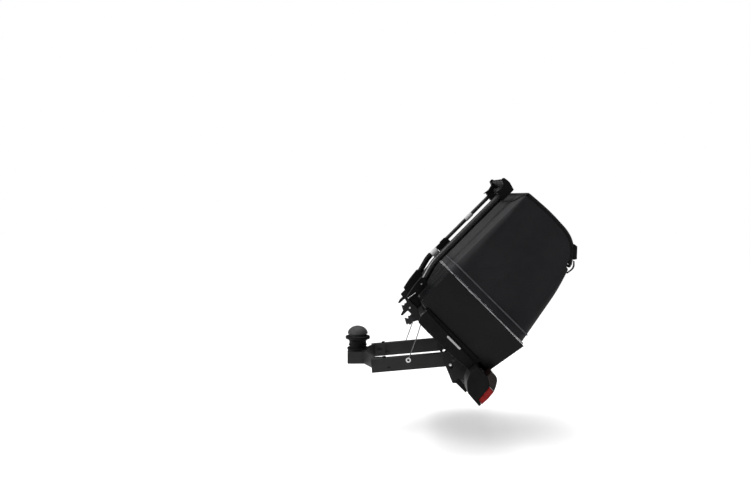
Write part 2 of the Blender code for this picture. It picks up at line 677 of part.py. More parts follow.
def lid():
    """The lid and all that opens with it, about the box's top front edge."""
    hinge_u, hinge_v = LID_HINGE
    axis = frame("lid_axis", (hinge_u, 0, hinge_v), 0.0, tip_frame)
    curve = [p - Vector(LID_HINGE) for p in lid_curve()]
    plate("lid", curve + inset(curve, LID_THICK)[::-1], -LID_HALF, LID_HALF, axis, FABRIC)

    line = inset(curve, PIPE_RADIUS)
    run = (curve[-1] - curve[-2]).normalized()
    corner = line[-1] + run * 0.0068
    side_y = LID_HALF + PIPE_RADIUS + 0.0005
    half = [((p.x, -side_y, p.y), 0) for p in line[:-1]] + [((corner.x, -side_y, corner.y), 0.008)]
    mirrored = [((u, -y, v), soft) for (u, y, v), soft in half[::-1]]
    tube("lid_piping", softened(half + mirrored, closed=False), PIPE_RADIUS, axis, PIPING, roundness=2)

    middle, along = Vector((-0.0067, 0.6718)) - Vector(LID_HINGE), Vector((0.681, -0.732))
    out = Vector((0.732, 0.681))
    length, lift, thick = 0.033, 0.001, 0.015
    buckle = [middle + out * lift - along * length, middle + out * lift + along * length,
              middle + out * (lift + thick) + along * length * 0.9,
              middle + out * (lift + thick) - along * length * 0.7]
    for side, sign in SIDES:
        plate(f"buckle_{side}", buckle, sign * 0.405, sign * 0.440, axis, BLACK_PLASTIC)


def closure_strap(side, sign):
    """The webbing from the buckle's lower end to the rear panel."""
    path = softened([((0.0245, 0.6492), 0), ((0.0465, 0.6296), 0.018), ((0.0399, 0.5918), 0)],
                    closed=False)
    plate(f"closure_strap_{side}", path + inset(path, 0.002)[::-1], sign * 0.410, sign * 0.435,
          tip_frame, WEBBING)


bpy.context.view_layer.update()
coupling()
foot_pedal()
deck()
upright()
tub()
fabric_top()
lid()
for side, sign in SIDES:
    yoke(side, sign)
    arm(side, sign)
    tube(f"restraint_wire_{side}", wire_route(sign), 0.0015, None, ZINC)
    swing_channel(side, sign)
    latch_hook(side, sign)
    side_plate(side, sign)
    lamp(side, sign)
    closure_strap(side, sign)
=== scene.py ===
"""Looks of the tilting tow-ball carrier with its soft-topped cargo box."""

import math

import bmesh
import bpy
from mathutils import Matrix, Vector, noise


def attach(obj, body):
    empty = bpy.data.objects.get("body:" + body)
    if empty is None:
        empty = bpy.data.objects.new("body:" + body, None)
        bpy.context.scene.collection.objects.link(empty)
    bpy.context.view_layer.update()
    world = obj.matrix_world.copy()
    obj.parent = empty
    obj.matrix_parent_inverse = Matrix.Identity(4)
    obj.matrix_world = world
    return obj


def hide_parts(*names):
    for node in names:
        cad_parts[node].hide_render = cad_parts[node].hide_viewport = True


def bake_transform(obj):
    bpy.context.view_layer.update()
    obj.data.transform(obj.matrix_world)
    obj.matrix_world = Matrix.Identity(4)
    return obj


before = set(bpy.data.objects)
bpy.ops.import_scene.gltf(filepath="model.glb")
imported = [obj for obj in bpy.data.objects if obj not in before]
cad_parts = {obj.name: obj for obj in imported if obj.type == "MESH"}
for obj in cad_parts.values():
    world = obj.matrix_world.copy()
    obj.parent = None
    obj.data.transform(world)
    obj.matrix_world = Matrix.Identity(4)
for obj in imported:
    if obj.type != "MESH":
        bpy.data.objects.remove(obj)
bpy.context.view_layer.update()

MM = 0.001
HINGE = Vector((0.430, 0.0, 0.0235))
ARMS = Matrix.Translation(HINGE) @ Matrix.Rotation(math.radians(-5), 4, "Y")
TIPPED = Matrix.Translation(HINGE) @ Matrix.Rotation(math.radians(45), 4, "Y")
SIDES = (("left", -1), ("right", 1))

RIM = 0.2643            # height of the tub's rim, in the tipped frame
HEM = 0.2975            # height of the cloth's hem
LEG = 0.19              # the frame's legs, either side of the middle
CHEEK_FACE = 0.2223     # the channels' outer faces
FOOT_FACE = 0.2150      # the foot blocks' outer faces
SIDE_FACE = 0.4556      # the pale bars' middle, on the side plates
WALL_FRONT = -0.3087    # the cloth's front wall
WALL_REAR_LOW = 0.1123  # the cloth's rear wall at the rim
WALL_REAR_HIGH = 0.0311
WELD = 0.00002          # points nearer than this are merged
WEAVE = 1000 / 1.6 / 20  # the wave scale that sets threads 1.6 mm apart


# ---------------------------------------------------------------- camera, floor and light
def set_the_stage():
    camera = bpy.data.objects.new("camera", bpy.data.cameras.new("camera"))
    bpy.context.scene.collection.objects.link(camera)
    camera.location = (0.089, -4.1, 0.736)
    camera.rotation_euler = (math.pi / 2, 0.0, 0.0)
    camera.data.lens = 42.96
    camera.data.sensor_width = 36.0
    camera.data.shift_y = -0.0707
    camera.data.clip_end = 100.0
    bpy.context.scene.camera = camera

    deselect()
    bpy.ops.mesh.primitive_plane_add(size=40.0, location=(0.0, 0.0, -0.346))
    floor = bpy.context.object
    floor.name = "floor"
    floor.data.materials.append(studio_floor())

    world = bpy.data.worlds.new("studio")
    bpy.context.scene.world = world
    world.use_nodes = True
    tree = world.node_tree
    seen = add(tree, "ShaderNodeBackground", (), {"Color": (1.0, 1.0, 1.0, 1.0), "Strength": 1.0})
    fill = tree.nodes["Background"]
    fill.inputs["Color"].default_value = (1.0, 1.0, 1.0, 1.0)
    fill.inputs["Strength"].default_value = 0.09
    ray = add(tree, "ShaderNodeLightPath").outputs["Is Camera Ray"]
    mix = add(tree, "ShaderNodeMixShader", {0: ray, 1: fill.outputs["Background"], 2: seen.outputs["Background"]})
    tree.links.new(mix.outputs["Shader"], tree.nodes["World Output"].inputs["Surface"])
    bpy.context.scene.view_settings.view_transform = "Standard"

    for name, place, aim, size, watts in (
        ("softbox_front_left", (-2.9, -0.9, 2.2), (0.4, 0.0, 0.3), 2.0, 130.0),
        ("softbox_top", (0.4, 0.4, 3.2), (0.4, 0.0, 0.2), 2.4, 30.0),
        ("softbox_rear", (2.6, -1.2, 1.4), (0.5, 0.0, 0.2), 1.2, 30.0),
    ):
        light = bpy.data.objects.new(name, bpy.data.lights.new(name, "AREA"))
        bpy.context.scene.collection.objects.link(light)
        light.data.size = size
        light.data.energy = watts
        light.location = place
        light.rotation_euler = (Vector(aim) - Vector(place)).to_track_quat("-Z", "Y").to_euler()

    silk = bpy.data.objects.new("overhead_silk", bpy.data.lights.new("overhead_silk", "SUN"))
    bpy.context.scene.collection.objects.link(silk)
    silk.data.energy = 3.3
    silk.data.angle = math.radians(70)


# ---------------------------------------------------------------- materials
def linear(hex_colour):
    """An sRGB hex colour as linear red, green and blue."""
    values = [int(hex_colour[i:i + 2], 16) / 255 for i in (1, 3, 5)]
    return tuple(v / 12.92 if v <= 0.04045 else ((v + 0.055) / 1.055) ** 2.4 for v in values)


def add(tree, kind, links=(), inputs=(), **settings):
    """Adds a node with its settings, its inputs' values and the links into them."""
    node = tree.nodes.new(kind)
    for name, value in settings.items():
        setattr(node, name, value)
    for socket, value in dict(inputs).items():
        node.inputs[socket].default_value = value
    for socket, source in dict(links).items():
        tree.links.new(source, node.inputs[socket])
    return node


def start_material(name, colour, **surface):
    """A material's tree, its Principled shader and its Object coordinates."""
    material = bpy.data.materials.new(name)
    material.use_nodes = True
    tree = material.node_tree
    shader = tree.nodes["Principled BSDF"]
    shader.inputs["Base Color"].default_value = (*linear(colour), 1.0)
    for socket, value in surface.items():
        shader.inputs[socket.replace("_", " ")].default_value = value
    coords = add(tree, "ShaderNodeTexCoord").outputs["Object"]
    return material, tree, shader, coords


def mottle(tree, shader, coords, low, high, size_mm, detail=3.0):
    """Varies the base colour between two hex colours in patches of a size."""
    spots = add(tree, "ShaderNodeTexNoise", {"Vector": coords}, {"Scale": 1000 / size_mm, "Detail": detail})
    ramp = add(tree, "ShaderNodeValToRGB", {"Fac": spots.outputs["Fac"]})
    ramp.color_ramp.elements[0].position = 0.3
    ramp.color_ramp.elements[1].position = 0.7
    ramp.color_ramp.elements[0].color = (*linear(low), 1.0)
    ramp.color_ramp.elements[1].color = (*linear(high), 1.0)
    tree.links.new(ramp.outputs["Color"], shader.inputs["Base Color"])
    return ramp


def roughen(tree, shader, coords, low, high, size_mm):
    """Varies the roughness, as handling and moulding do."""
    patches = add(tree, "ShaderNodeTexNoise", {"Vector": coords}, {"Scale": 1000 / size_mm, "Detail": 2.0})
    spread = add(tree, "ShaderNodeMapRange", {"Value": patches.outputs["Fac"]},
                 {"From Min": 0.3, "From Max": 0.7, "To Min": low, "To Max": high})
    tree.links.new(spread.outputs["Result"], shader.inputs["Roughness"])


def emboss(tree, shader, height, depth_mm, strength=1.0, over=None):
    """Adds a bump of a real depth."""
    bump = add(tree, "ShaderNodeBump", {"Height": height}, {"Distance": depth_mm * MM, "Strength": strength})
    if over:
        tree.links.new(over.outputs["Normal"], bump.inputs["Normal"])
    tree.links.new(bump.outputs["Normal"], shader.inputs["Normal"])
    return bump


def studio_floor():
    material, tree, shader, coords = start_material("matt_studio_floor", "#f6f6f6", Roughness=0.9)
    mottle(tree, shader, coords, "#f5f5f5", "#f8f8f8", 400)
    return material


def powder_coat(name, low, high, roughness):
    # Polyester powder on steel: satin, with a faint orange peel.
    material, tree, shader, coords = start_material(name, high, IOR=1.5, Specular_IOR_Level=0.18)
    mottle(tree, shader, coords, low, high, 60)
    roughen(tree, shader, coords, roughness - 0.05, roughness + 0.06, 40)
    peel = add(tree, "ShaderNodeTexNoise", {"Vector": coords}, {"Scale": 500.0, "Detail": 1.0})
    emboss(tree, shader, peel.outputs["Fac"], 0.02)
    return material


def moulded_nylon(name, low, high, roughness=0.5):
    # Glass-filled nylon, injection moulded: matt, with a spark-eroded grain of about 1 mm.
    material, tree, shader, coords = start_material(name, high, IOR=1.46, Specular_IOR_Level=0.09)
    mottle(tree, shader, coords, low, high, 25)
    roughen(tree, shader, coords, roughness - 0.06, roughness + 0.08, 15)
    grain = add(tree, "ShaderNodeTexNoise", {"Vector": coords}, {"Scale": 1000.0, "Detail": 2.0})
    emboss(tree, shader, grain.outputs["Fac"], 0.015)
    return material


def vacuum_formed_abs():
    # ABS sheet formed over a tool: semi-gloss, with slow waves where the sheet was drawn.
    material, tree, shader, coords = start_material(
        "vacuum_formed_abs", "#0c0c0d", IOR=1.52, Specular_IOR_Level=0.08)
    mottle(tree, shader, coords, "#09090a", "#0e0e0f", 120)
    roughen(tree, shader, coords, 0.24, 0.34, 90)
    waves = add(tree, "ShaderNodeTexNoise", {"Vector": coords}, {"Scale": 9.0, "Detail": 1.0})
    grain = add(tree, "ShaderNodeTexNoise", {"Vector": coords}, {"Scale": 900.0, "Detail": 1.0})
    slow = emboss(tree, shader, waves.outputs["Fac"], 0.8, 0.25)
    emboss(tree, shader, grain.outputs["Fac"], 0.006, 0.5, slow)
    return material


def coated_canvas():
    # 600-denier polyester with a matt coating: threads a millimetre apart, drawn at 1.6 mm so
    # that they show, with soft colour drift from handling.
    material, tree, shader, coords = start_material(
        "coated_polyester_canvas", "#161618", IOR=1.45, Specular_IOR_Level=0.10,
        Sheen_Weight=0.05, Sheen_Roughness=0.5)
    mottle(tree, shader, coords, "#101012", "#161618", 160, 4.0)
    roughen(tree, shader, coords, 0.62, 0.8, 50)
    level = add(tree, "ShaderNodeMapping", {"Vector": coords}, {"Rotation": (0.0, math.radians(-45), 0.0)})
    warp = add(tree, "ShaderNodeTexWave", {"Vector": level.outputs["Vector"]},
               {"Scale": WEAVE, "Distortion": 0.6, "Detail Scale": 8.0},
               bands_direction="X", wave_type="BANDS")
    weft = add(tree, "ShaderNodeTexWave", {"Vector": level.outputs["Vector"]},
               {"Scale": WEAVE, "Distortion": 0.6, "Detail Scale": 8.0},
               bands_direction="Z", wave_type="BANDS")
    across = add(tree, "ShaderNodeTexWave", {"Vector": level.outputs["Vector"]},
                 {"Scale": WEAVE, "Distortion": 0.6, "Detail Scale": 8.0},
                 bands_direction="Y", wave_type="BANDS")
    pair = add(tree, "ShaderNodeMath", {0: warp.outputs["Fac"], 1: weft.outputs["Fac"]}, operation="ADD")
    weave = add(tree, "ShaderNodeMath", {0: pair.outputs["Value"], 1: across.outputs["Fac"]}, operation="ADD")
    folds = add(tree, "ShaderNodeTexNoise", {"Vector": coords}, {"Scale": 12.0, "Detail": 3.0})
    soft = emboss(tree, shader, folds.outputs["Fac"], 2.0, 0.35)
    emboss(tree, shader, weave.outputs["Value"], 0.05, 0.4, soft)
    return material


def zip_rubber():
    # Rubber-backed zip tape and its cord: dead matt and almost black.
    material, tree, shader, coords = start_material("rubberised_zip_tape", "#060607", IOR=1.45, Specular_IOR_Level=0.1)
    mottle(tree, shader, coords, "#050506", "#0a0a0b", 12)
    roughen(tree, shader, coords, 0.55, 0.75, 10)
    ribs = add(tree, "ShaderNodeTexNoise", {"Vector": coords}, {"Scale": 600.0, "Detail": 1.0})
    emboss(tree, shader, ribs.outputs["Fac"], 0.15)
    return material


def webbing():
    # Polypropylene webbing: ribs 2 mm apart across its length.
    material, tree, shader, coords = start_material("polypropylene_webbing", "#141414", IOR=1.46, Sheen_Weight=0.2)
    mottle(tree, shader, coords, "#101010", "#1b1b1b", 8)
    roughen(tree, shader, coords, 0.6, 0.8, 6)
    ribs = add(tree, "ShaderNodeTexWave", {"Vector": coords}, {"Scale": 25.0, "Distortion": 0.3}, bands_direction="Z")
    emboss(tree, shader, ribs.outputs["Fac"], 0.4)
    return material


def anodised_extrusion():
    # Anodised aluminium keder rail: light grey, drawn lines along its length.
    material, tree, shader, coords = start_material("anodised_keder_rail", "#818183", Metallic=0.85)
    mottle(tree, shader, coords, "#747476", "#8b8b8d", 30)
    roughen(tree, shader, coords, 0.38, 0.52, 12)
    lines = add(tree, "ShaderNodeTexNoise", {"Vector": coords}, {"Scale": 700.0, "Detail": 1.0})
    emboss(tree, shader, lines.outputs["Fac"], 0.03)
    return material


def zinc_plate(name, low, high, roughness):
    # Zinc-plated steel: pale, slightly mottled by the passivation.
    material, tree, shader, coords = start_material(name, high, Metallic=1.0)
    mottle(tree, shader, coords, low, high, 6)
    roughen(tree, shader, coords, roughness - 0.06, roughness + 0.08, 4)
    grain = add(tree, "ShaderNodeTexNoise", {"Vector": coords}, {"Scale": 1200.0, "Detail": 1.0})
    emboss(tree, shader, grain.outputs["Fac"], 0.02)
    return material


def polished_enamel(name, low, high, roughness):
    # Enamel on steel tube: a deep black with a soft highlight under a thin clear coat.
    material, tree, shader, coords = start_material(
        name, high, IOR=1.5, Specular_IOR_Level=0.5, Coat_Weight=0.3, Coat_Roughness=0.10)
    mottle(tree, shader, coords, low, high, 80)
    roughen(tree, shader, coords, roughness - 0.04, roughness + 0.05, 30)
    peel = add(tree, "ShaderNodeTexNoise", {"Vector": coords}, {"Scale": 400.0, "Detail": 1.0})
    emboss(tree, shader, peel.outputs["Fac"], 0.03)
    return material


def lens_acrylic(name, low, high, transmission, roughness, rib_mm):
    # Moulded PMMA with prism ribs on its inner face.
    material, tree, shader, coords = start_material(
        name, high, IOR=1.49, Transmission_Weight=transmission, Specular_IOR_Level=0.08,
        Coat_Weight=0.06, Coat_Roughness=0.05)
    mottle(tree, shader, coords, low, high, 18)
    roughen(tree, shader, coords, roughness, roughness + 0.05, 10)
    prisms = add(tree, "ShaderNodeTexWave", {"Vector": coords}, {"Scale": 1000 / rib_mm / 20, "Distortion": 0.0},
                 bands_direction="Y", wave_profile="TRI")
    emboss(tree, shader, prisms.outputs["Fac"], 0.5, 0.5)
    return material


def steel_strand():
    # Galvanised wire rope under a clear sleeve: an even grey, its lay only faintly felt.
    material, tree, shader, coords = start_material("sleeved_wire_rope", "#5c5c5c", IOR=1.45, Specular_IOR_Level=0.3)
    mottle(tree, shader, coords, "#545454", "#646464", 3)
    roughen(tree, shader, coords, 0.42, 0.55, 3)
    lay = add(tree, "ShaderNodeTexNoise", {"Vector": coords}, {"Scale": 300.0, "Detail": 1.0})
    emboss(tree, shader, lay.outputs["Fac"], 0.01)
    return material


def printed_decal():
    # Pale screen-printed film.
    material, tree, shader, coords = start_material("screen_printed_film", "#949494", IOR=1.48)
    mottle(tree, shader, coords, "#8c8c8c", "#9a9a9a", 10)
    roughen(tree, shader, coords, 0.35, 0.45, 8)
    return material


# ---------------------------------------------------------------- making
def deselect():
    bpy.ops.object.select_all(action="DESELECT")


def take(obj):
    """Selects one object alone and makes it the active one."""
    deselect()
    obj.select_set(True)
    bpy.context.view_layer.objects.active = obj


def settle(obj, name, place=Matrix()):
    """Names a finished object, moves it to its place and puts that place into its mesh."""
    obj.name = obj.data.name = name
    bpy.context.view_layer.update()
    obj.matrix_world = place @ obj.matrix_world
    take(obj)
    bpy.ops.object.transform_apply(location=True, rotation=True, scale=True)
    return obj


def harden(obj, *modifiers):
    """Applies modifiers given as a type and its settings."""
    take(obj)
    for kind, settings in modifiers:
        modifier = obj.modifiers.new(kind.lower(), kind)
        for name, value in settings.items():
            setattr(modifier, name, value)
        bpy.ops.object.modifier_apply(modifier=modifier.name)
    return obj


def soften_shading(obj, degrees=30):
    """Smooth shading up to an angle, with flat faces kept flat."""
    take(obj)
    bpy.ops.object.shade_smooth_by_angle(angle=math.radians(degrees))
    return harden(obj, ("WEIGHTED_NORMAL", dict(keep_sharp=True, weight=80)))


def finish_piece(obj, body, material, replaced, degrees=30):
    """Shades a piece, gives it its material and ties it to its body."""
    if body is None:
        return obj
    soften_shading(obj, degrees)
    obj.data.materials.clear()
    obj.data.materials.append(material)
    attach(obj, body)
    if replaced:
        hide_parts(*replaced)
    return obj


def eased_copy(node, edge_mm, angle=35, segments=2):
    """A merged copy of a frame node with its sharp edges eased."""
    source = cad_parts[node]
    obj = bpy.data.objects.new(node + "_eased", source.data.copy())
    bpy.context.scene.collection.objects.link(obj)
    take(obj)
    bpy.ops.object.mode_set(mode="EDIT")
    bpy.ops.mesh.select_all(action="SELECT")
    bpy.ops.mesh.remove_doubles(threshold=WELD)
    bpy.ops.mesh.dissolve_limited(angle_limit=math.radians(1.0))
    bpy.ops.object.mode_set(mode="OBJECT")
    return harden(obj, ("BEVEL", dict(width=edge_mm * MM, segments=segments, limit_method="ANGLE",
                                      angle_limit=math.radians(angle), use_clamp_overlap=True)))


def join(name, pieces):
    """Joins pieces into the first of them."""
    deselect()
    for piece in pieces:
        piece.select_set(True)
    bpy.context.view_layer.objects.active = pieces[0]
    bpy.ops.object.join()
    pieces[0].name = pieces[0].data.name = name
    return pieces[0]


def lathe(name, profile, centre, steps=64):
    """Turns a piece ring by ring, from the bottom of its outer side to its top."""
    deselect()
    radius, height = profile[0]
    bpy.ops.mesh.primitive_circle_add(vertices=steps, radius=radius, fill_type="NGON",
                                      location=(centre[0], centre[1], height))
    obj = bpy.context.object
    bpy.ops.object.mode_set(mode="EDIT")
    bpy.ops.mesh.select_all(action="SELECT")
    for r, z in profile[1:]:
        bpy.ops.mesh.extrude_region_move(TRANSFORM_OT_translate={"value": (0.0, 0.0, z - height)})
        ratio = r / radius
        bpy.ops.transform.resize(value=(ratio, ratio, 1.0), center_override=(centre[0], centre[1], z))
        radius, height = r, z
    bpy.ops.mesh.select_all(action="SELECT")
    bpy.ops.mesh.normals_make_consistent(inside=False)
    bpy.ops.object.mode_set(mode="OBJECT")
    return settle(obj, name)


def hex_bolt(name, at, direction, across, height, place, body, material, replaced=(), washer=0.0):
    """A hexagon head with a chamfered crown, on a round washer face."""
    deselect()
    bpy.ops.mesh.primitive_cylinder_add(vertices=6, radius=across / 2 / math.cos(math.pi / 6),
                                        depth=height, location=(0.0, 0.0, height / 2))
    head = bpy.context.object
    bpy.ops.object.mode_set(mode="EDIT")
    bm = bmesh.from_edit_mesh(head.data)
    for face in bm.faces:
        face.select_set(face.normal.z > 0.9)
    bmesh.update_edit_mesh(head.data)
    bpy.ops.mesh.inset(thickness=across * 0.09, depth=across * 0.05)
    bpy.ops.mesh.inset(thickness=across * 0.16, depth=0.0)
    bpy.ops.mesh.inset(thickness=across * 0.02, depth=-across * 0.02)
    bpy.ops.object.mode_set(mode="OBJECT")
    pieces = [head]
    if washer:
        bpy.ops.mesh.primitive_cylinder_add(vertices=40, radius=washer, depth=0.0016, location=(0.0, 0.0, 0.0004))
        plate = bpy.context.object
        harden(plate, ("BEVEL", dict(width=0.0004, segments=2, limit_method="ANGLE")))
        pieces.append(plate)
    obj = join(name, pieces)
    turn = Vector((0, 0, 1)).rotation_difference(Vector(direction)).to_matrix().to_4x4()
    settle(obj, name, place @ Matrix.Translation(Vector(at)) @ turn)
    return finish_piece(obj, body, material, replaced)


def bent_tube(name, points, radius, place, body, material, replaced, resolution=6, shares=None):
    """A round tube along smooth points, made from a curve and capped."""
    curve = bpy.data.curves.new(name, "CURVE")
    curve.dimensions = "3D"
    curve.bevel_depth = radius
    curve.bevel_resolution = resolution
    curve.use_fill_caps = True
    spline = curve.splines.new("POLY")
    spline.points.add(len(points) - 1)
    for i, (target, point) in enumerate(zip(spline.points, points)):
        target.co = (*point, 1.0)
        target.radius = shares[i] if shares else 1.0
    obj = bpy.data.objects.new(name, curve)
    bpy.context.scene.collection.objects.link(obj)
    take(obj)
    bpy.ops.object.convert(target="MESH")
    obj = bpy.context.object
    bpy.ops.object.mode_set(mode="EDIT")
    bpy.ops.mesh.select_all(action="SELECT")
    bpy.ops.mesh.remove_doubles(threshold=WELD)
    bpy.ops.mesh.normals_make_consistent(inside=False)
    bpy.ops.object.mode_set(mode="OBJECT")
    settle(obj, name, place)
    if body is None:
        return obj
    return finish_piece(obj, body, material, replaced, 50)


def softened(corners, closed=True, steps=6):
    """The outline with each corner that carries a softness rounded by a quadratic curve."""
    points = [Vector(c[0]) for c in corners]
    softness = [c[1] for c in corners]
    count = len(points)
    outline = []
    for i, (point, soft) in enumerate(zip(points, softness)):
        if soft == 0 or (not closed and i in (0, count - 1)):
            outline.append(point)
            continue
        before = point + (points[i - 1] - point).normalized() * soft
        after = point + (points[(i + 1) % count] - point).normalized() * soft
        for k in range(steps + 1):
            t = k / steps
            outline.append(before * (1 - t) ** 2 + point * 2 * t * (1 - t) + after * t * t)
    return outline


def inset(path, distance):
    """An open path moved to its right by a distance."""
    moved = []
    for i, point in enumerate(path):
        ahead = path[min(i + 1, len(path) - 1)] - point
        behind = point - path[max(i - 1, 0)]
        run = (ahead.normalized() + behind.normalized()).normalized()
        moved.append(point + Vector((run.y, -run.x)) * distance)
    return moved


def along(path, t):
    """The point at a share of a path's length."""
    lengths = [(b - a).length for a, b in zip(path, path[1:])]
    target = max(0.0, min(1.0, t)) * sum(lengths)
    for a, b, length in zip(path, path[1:], lengths):
        if target <= length:
            return a.lerp(b, target / length if length else 0.0)
        target -= length
    return path[-1].copy()


def smooth_route(route, steps):
    """A smooth curve read through the route's own points."""
    ends = [route[0] * 2 - route[1], *route, route[-1] * 2 - route[-2]]
    points = []
    for a, b, c, d in zip(ends, ends[1:], ends[2:], ends[3:]):
        for k in range(steps):
            t = k / steps
            points.append(0.5 * (2 * b + (c - a) * t + (2 * a - 5 * b + 4 * c - d) * t * t
                                 + (3 * b - a - 3 * c + d) * t ** 3))
    return points + [route[-1]]


# ---------------------------------------------------------------- restraint wires
def restraint_wires():
    """The two taut wires from the arms to the platform."""
    rope, eye_steel = steel_strand(), zinc_plate("zinc_plated_eyelet", "#a2a2a3", "#c4c4c5", 0.36)
    for side, sign in SIDES:
        route = [(0.2371, 0.2195, 0.0305), (0.2545, 0.2205, 0.0780), (0.2717, 0.2220, 0.1256),
                 (0.2874, 0.2250, 0.1760), (0.2983, 0.2260, 0.1997), (0.3086, 0.2260, 0.2168)]
        path = smooth_route([Vector((x, sign * y, z)) for x, y, z in route], 8)
        wire = bent_tube(f"wire_rope_{side}", path, 0.0021, Matrix(), None, None, None, 4)
        soften_shading(wire, 60)
        wire.data.materials.clear()
        wire.data.materials.append(rope)
        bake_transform(wire)
        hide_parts(f"restraint_wire_{side}")


# ---------------------------------------------------------------- fabric top
def lid_line():
    """The lid's outer line in side view, from its front edge to its rear edge."""
    return softened([((-0.2998, 0.7115), 0), ((-0.1884, 0.7200), 0.05), ((-0.0302, 0.7129), 0.077),
                     ((0.0250, 0.6276), 0)], closed=False, steps=16)


def rear_line():
    """The rear wall's outer line in side view, from the rim up to the lid."""
    return softened([((WALL_REAR_LOW, RIM), 0), ((0.0607, 0.5255), 0.06), ((WALL_REAR_HIGH, 0.6056), 0)],
                    closed=False, steps=12)


def wall_ring(corner, front, rear, half, per_corner, per_side, per_end):
    """A rounded ring in plan from the middle of the front wall, going left: (u, y, share along side)."""
    ring = []
    for k in range(per_end // 2):
        ring.append((front, -(half - corner) * k / (per_end // 2), 0.0))
    for k in range(per_corner):
        a = math.radians(180 + 90 * k / per_corner)
        ring.append((front + corner + corner * math.cos(a), -half + corner + corner * math.sin(a), 0.0))
    for k in range(per_side):
        t = k / per_side
        ring.append((front + corner + (rear - front - 2 * corner) * t, -half, t))
    for k in range(per_corner):
        a = math.radians(270 + 90 * k / per_corner)
        ring.append((rear - corner + corner * math.cos(a), -half + corner + corner * math.sin(a), 1.0))
    for k in range(per_end // 2 + 1):
        ring.append((rear, -(half - corner) * (1 - k / (per_end // 2)), 1.0))
    mirrored = [(u, -y, t) for u, y, t in ring[-2:0:-1]]
    return ring + mirrored


def crease(u, v, sign):
    """How far the side panel's cloth stands in or out: folds that fan from the front lower corner."""
    x, z = u + 0.29, v - 0.285
    reach = math.hypot(x, z)
    if reach < 0.001:
        return 0.0
    angle = math.atan2(z, x)
    fade = min(1.0, reach / 0.12) * math.exp(-reach / 0.55)
    wander = noise.noise(Vector((u * 5, v * 5, 3.0 + sign))) * 0.5
    folds = 0.0
    for centre, width, height in ((0.20, 0.050, 2.6), (0.42, 0.045, -2.2), (0.62, 0.055, 2.4),
                                  (0.86, 0.050, -2.0), (1.10, 0.060, 2.0), (1.34, 0.050, -1.4)):
        folds += height * math.exp(-((angle + wander * 0.25 - centre) / width) ** 2)
    slow = noise.fractal(Vector((u * 9, v * 9, 7.0 * sign)), 1.0, 2.0, 3) * 1.5
    return (1.7 * folds * fade + slow) * MM


def fabric_walls(cloth):
    """The four cloth walls as one sheet sewn into a ring, from the rim to just under the lid."""
    counts = dict(per_corner=10, per_side=64, per_end=72)
    low = wall_ring(0.046, WALL_FRONT, WALL_REAR_LOW, 0.444, **counts)
    high = wall_ring(0.014, WALL_FRONT, WALL_REAR_HIGH, 0.444, **counts)
    top_line = [Vector((WALL_FRONT, 0.6980)), *inset(lid_line(), 0.0125)[:-1], Vector((0.0107, 0.6092)),
                Vector((WALL_REAR_HIGH, 0.6056))]
    columns, rows = len(low), 56
    rear = rear_line()
    deselect()
    bpy.ops.mesh.primitive_grid_add(x_subdivisions=columns, y_subdivisions=rows, size=1.0)
    obj = bpy.context.object
    for vertex in obj.data.vertices:
        column = round((vertex.co.x + 0.5) * columns) % columns
        t = vertex.co.y + 0.5
        (u0, y0, share), (u1, y1, _) = low[column], high[column]
        top = along(top_line, share)
        if 0.0 < share < 1.0:
            u1, v1 = top.x, top.y
        else:
            v1 = top.y
        v = RIM + 0.0004 + (v1 - RIM - 0.0004) * t
        u = u0 + (u1 - u0) * t
        y = y0 + (y1 - y0) * t
        bow = along(rear, t).x - (WALL_REAR_LOW + (WALL_REAR_HIGH - WALL_REAR_LOW) * t)
        u += bow * share ** 2
        hold = min(1.0, t / 0.14) * min(1.0, (1 - t) / 0.06)
        sign = -1 if y < 0 else 1
        if 0.0 < share < 1.0:
            ends = min(1.0, share / 0.06) * min(1.0, (1 - share) / 0.06)
            y += sign * hold * ends * (crease(u, v, sign) - 0.0030 * math.sin(math.pi * share))
        elif share == 0.0 and abs(y) < 0.39:
            u += hold * (0.002 * math.cos(y * 3) + noise.noise(Vector((y * 9, v * 9, 1.0))) * 0.0016)
        elif share == 1.0 and abs(y) < 0.39:
            u -= hold * (0.003 * math.cos(y * 3) + noise.noise(Vector((y * 7, v * 9, 5.0))) * 0.002)
        hem = math.exp(-((v - HEM) / 0.0035) ** 2) * 0.0012
        if 0.0 < share < 1.0:
            y += sign * hem
        vertex.co = (u, y, v)
    bpy.ops.object.mode_set(mode="EDIT")
    bpy.ops.mesh.select_all(action="SELECT")
    bpy.ops.mesh.remove_doubles(threshold=WELD)
    bpy.ops.mesh.normals_make_consistent(inside=False)
    bpy.ops.object.mode_set(mode="OBJECT")
    settle(obj, "cloth_walls", TIPPED)
    harden(obj, ("SOLIDIFY", dict(thickness=0.0030, offset=-1.0)))
    finish_piece(obj, "platform", cloth, ("side_panel_left", "side_panel_right", "front_panel", "rear_panel"),
                 50)
    return obj


